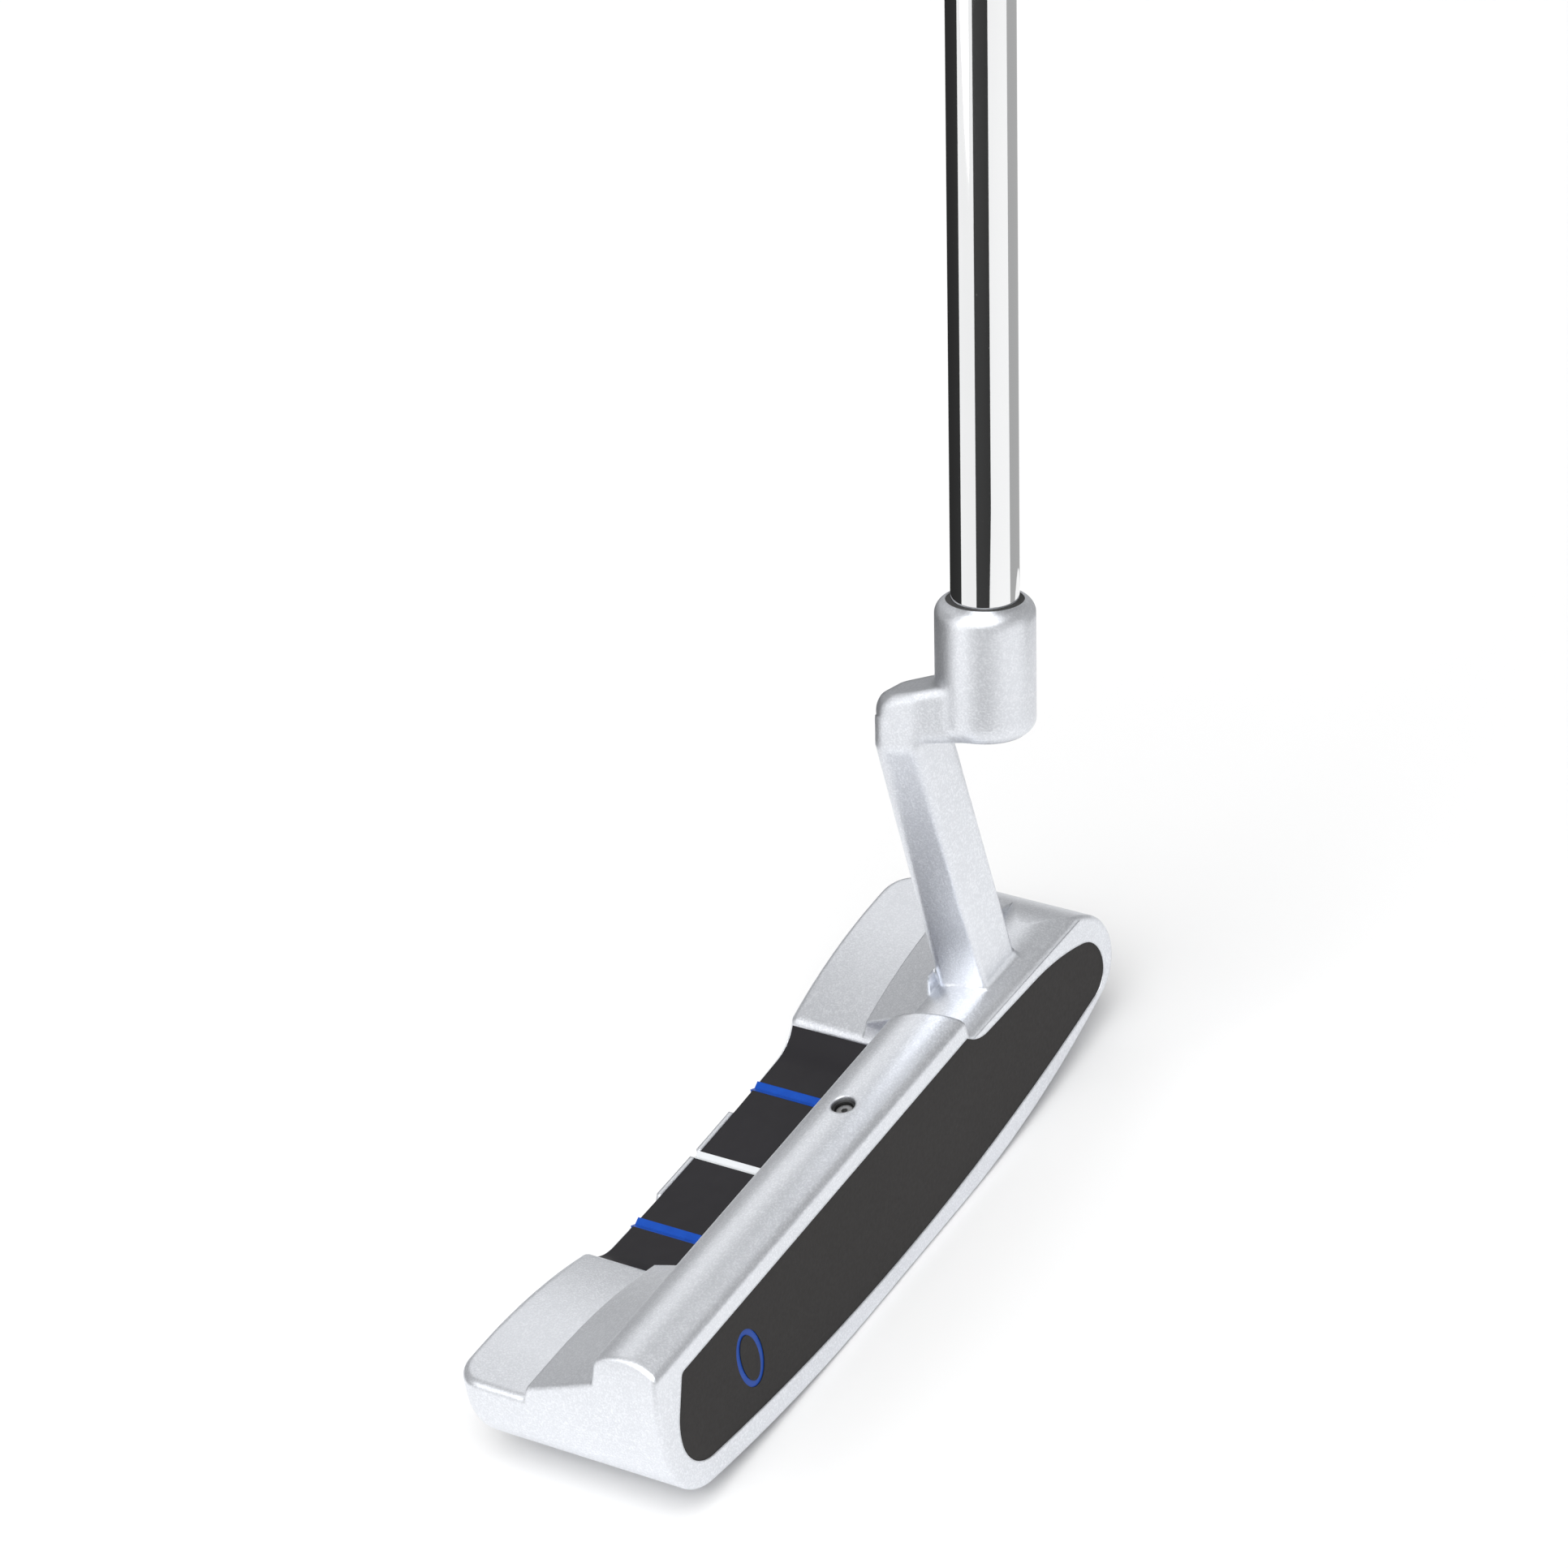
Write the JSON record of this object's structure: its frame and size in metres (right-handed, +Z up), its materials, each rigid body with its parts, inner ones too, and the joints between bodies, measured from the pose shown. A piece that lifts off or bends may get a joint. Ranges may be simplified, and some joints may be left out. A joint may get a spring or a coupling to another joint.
{
  "type": "blade putter",
  "caption": "Right-handed blade golf putter: cast head with offset neck, black face insert, sight lines in the rear cavity, stepped steel shaft and rubber grip.",
  "frame": {"origin": "on the flat pad of the sole, on the head's centreline, midway between the face and the rear of the head", "axes": "+X towards the heel and the player, +Y away from the target to the rear of the head, +Z up with the putter at address"},
  "size_m": [0.3576, 0.0517, 0.8233],
  "materials": {
    "satin_metal": "fine bead-blasted satin, bright silver",
    "insert_black": "black anodised, matt and finely machined",
    "panel_black": "satin black enamel",
    "line_blue": "gloss translucent blue enamel",
    "line_white": "gloss white enamel",
    "bond_dark": "cured epoxy, dark grey",
    "bond_film": "acrylic bonding film",
    "screw_steel": "dark grey steel",
    "liner_black": "black enamel",
    "shaft_chrome": "bright chrome plating",
    "grip_rubber": "black rubber, fine moulded texture",
    "cap_rubber": "harder black rubber, smooth",
    "tape_white": "double-sided paper tape",
    "plug_plastic": "plain plastic"
  },
  "bodies": {
    "root": {"head_casting": "satin_metal", "face_insert": "insert_black", "insert_bond": "bond_film", "insert_mark": "line_blue", "panel_toe_outer": "panel_black", "panel_toe_inner": "panel_black", "panel_heel_inner": "panel_black", "panel_heel_outer": "panel_black", "sight_line_toe": "line_blue", "sight_line_centre": "line_white", "sight_line_heel": "line_blue", "dot_liner": "liner_black", "dot_screw": "screw_steel", "shaft": "shaft_chrome", "shaft_bond": "bond_dark", "tip_plug": "plug_plastic", "grip": "grip_rubber", "grip_tape": "tape_white", "grip_cap": "cap_rubber"}
  },
  "joints": []
}
